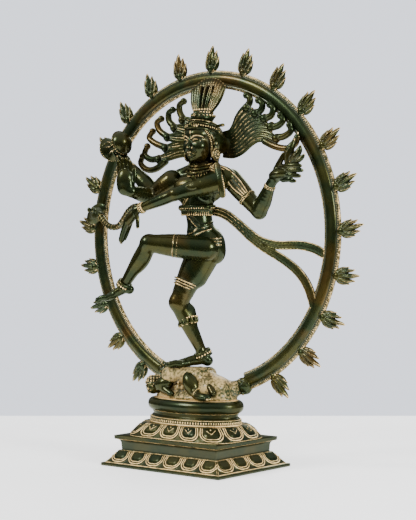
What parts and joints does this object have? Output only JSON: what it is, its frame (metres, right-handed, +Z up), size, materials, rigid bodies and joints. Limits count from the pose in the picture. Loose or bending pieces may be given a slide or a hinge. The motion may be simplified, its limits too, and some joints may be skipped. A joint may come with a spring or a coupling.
{
  "type": "dancing figure statue",
  "caption": "Cast brass dancing figure with raised leg inside an upright ring of flames, on a stepped rectangular lotus base.",
  "frame": {"origin": "centre of the base's underside", "axes": "+Z up, the figure faces -Y, +X is to the right when facing the figure"},
  "size_m": [0.3965, 0.1246, 0.4574],
  "materials": {
    "dark_patina_brass": "glossy green-black patina over brass",
    "rubbed_brass": "patina rubbed back to tan brass on the raised parts",
    "ornament_brass": "dark patina with rubbed golden edges",
    "fastener": "plain steel"
  },
  "bodies": {
    "root": {"anklets": "ornament_brass", "arm_blessing": "dark_patina_brass", "arm_crossing": "dark_patina_brass", "arm_drum": "dark_patina_brass", "arm_fire": "dark_patina_brass", "armlets": "ornament_brass", "base_plinth": "dark_patina_brass", "beaded_collar": "rubbed_brass", "belt": "ornament_brass", "bracelets": "ornament_brass", "cobra": "dark_patina_brass", "crown_cap": "rubbed_brass", "cushion": "dark_patina_brass", "demon_bed": "rubbed_brass", "demon_body": "rubbed_brass", "demon_head": "rubbed_brass", "drum": "dark_patina_brass", "earrings": "ornament_brass", "feather_fan": "rubbed_brass", "flame_01": "dark_patina_brass", "flame_02": "dark_patina_brass", "flame_03": "dark_patina_brass", "flame_04": "dark_patina_brass", "flame_05": "dark_patina_brass", "flame_06": "dark_patina_brass", "flame_07": "dark_patina_brass", "flame_08": "dark_patina_brass", "flame_09": "dark_patina_brass", "flame_10": "dark_patina_brass", "flame_11": "dark_patina_brass", "flame_12": "dark_patina_brass", "flame_13": "dark_patina_brass", "flame_14": "dark_patina_brass", "flame_15": "dark_patina_brass", "flame_16": "dark_patina_brass", "flame_17": "dark_patina_brass", "flame_18": "dark_patina_brass", "flame_19": "dark_patina_brass", "flame_20": "dark_patina_brass", "flame_21": "dark_patina_brass", "flame_ring": "dark_patina_brass", "garter": "ornament_brass", "hair_rosettes": "ornament_brass", "hair_wing_left": "dark_patina_brass", "hair_wing_right": "dark_patina_brass", "hand_flame": "dark_patina_brass", "head": "dark_patina_brass", "knee_bells": "ornament_brass", "leg_raised": "dark_patina_brass", "leg_standing": "dark_patina_brass", "lotus_pedestal": "dark_patina_brass", "mounting_bolts": "fastener", "mounting_washers": "fastener", "necklace": "ornament_brass", "ring_knots": "rubbed_brass", "sash": "dark_patina_brass", "shoulder_strap": "ornament_brass", "torso": "dark_patina_brass"}
  },
  "joints": []
}
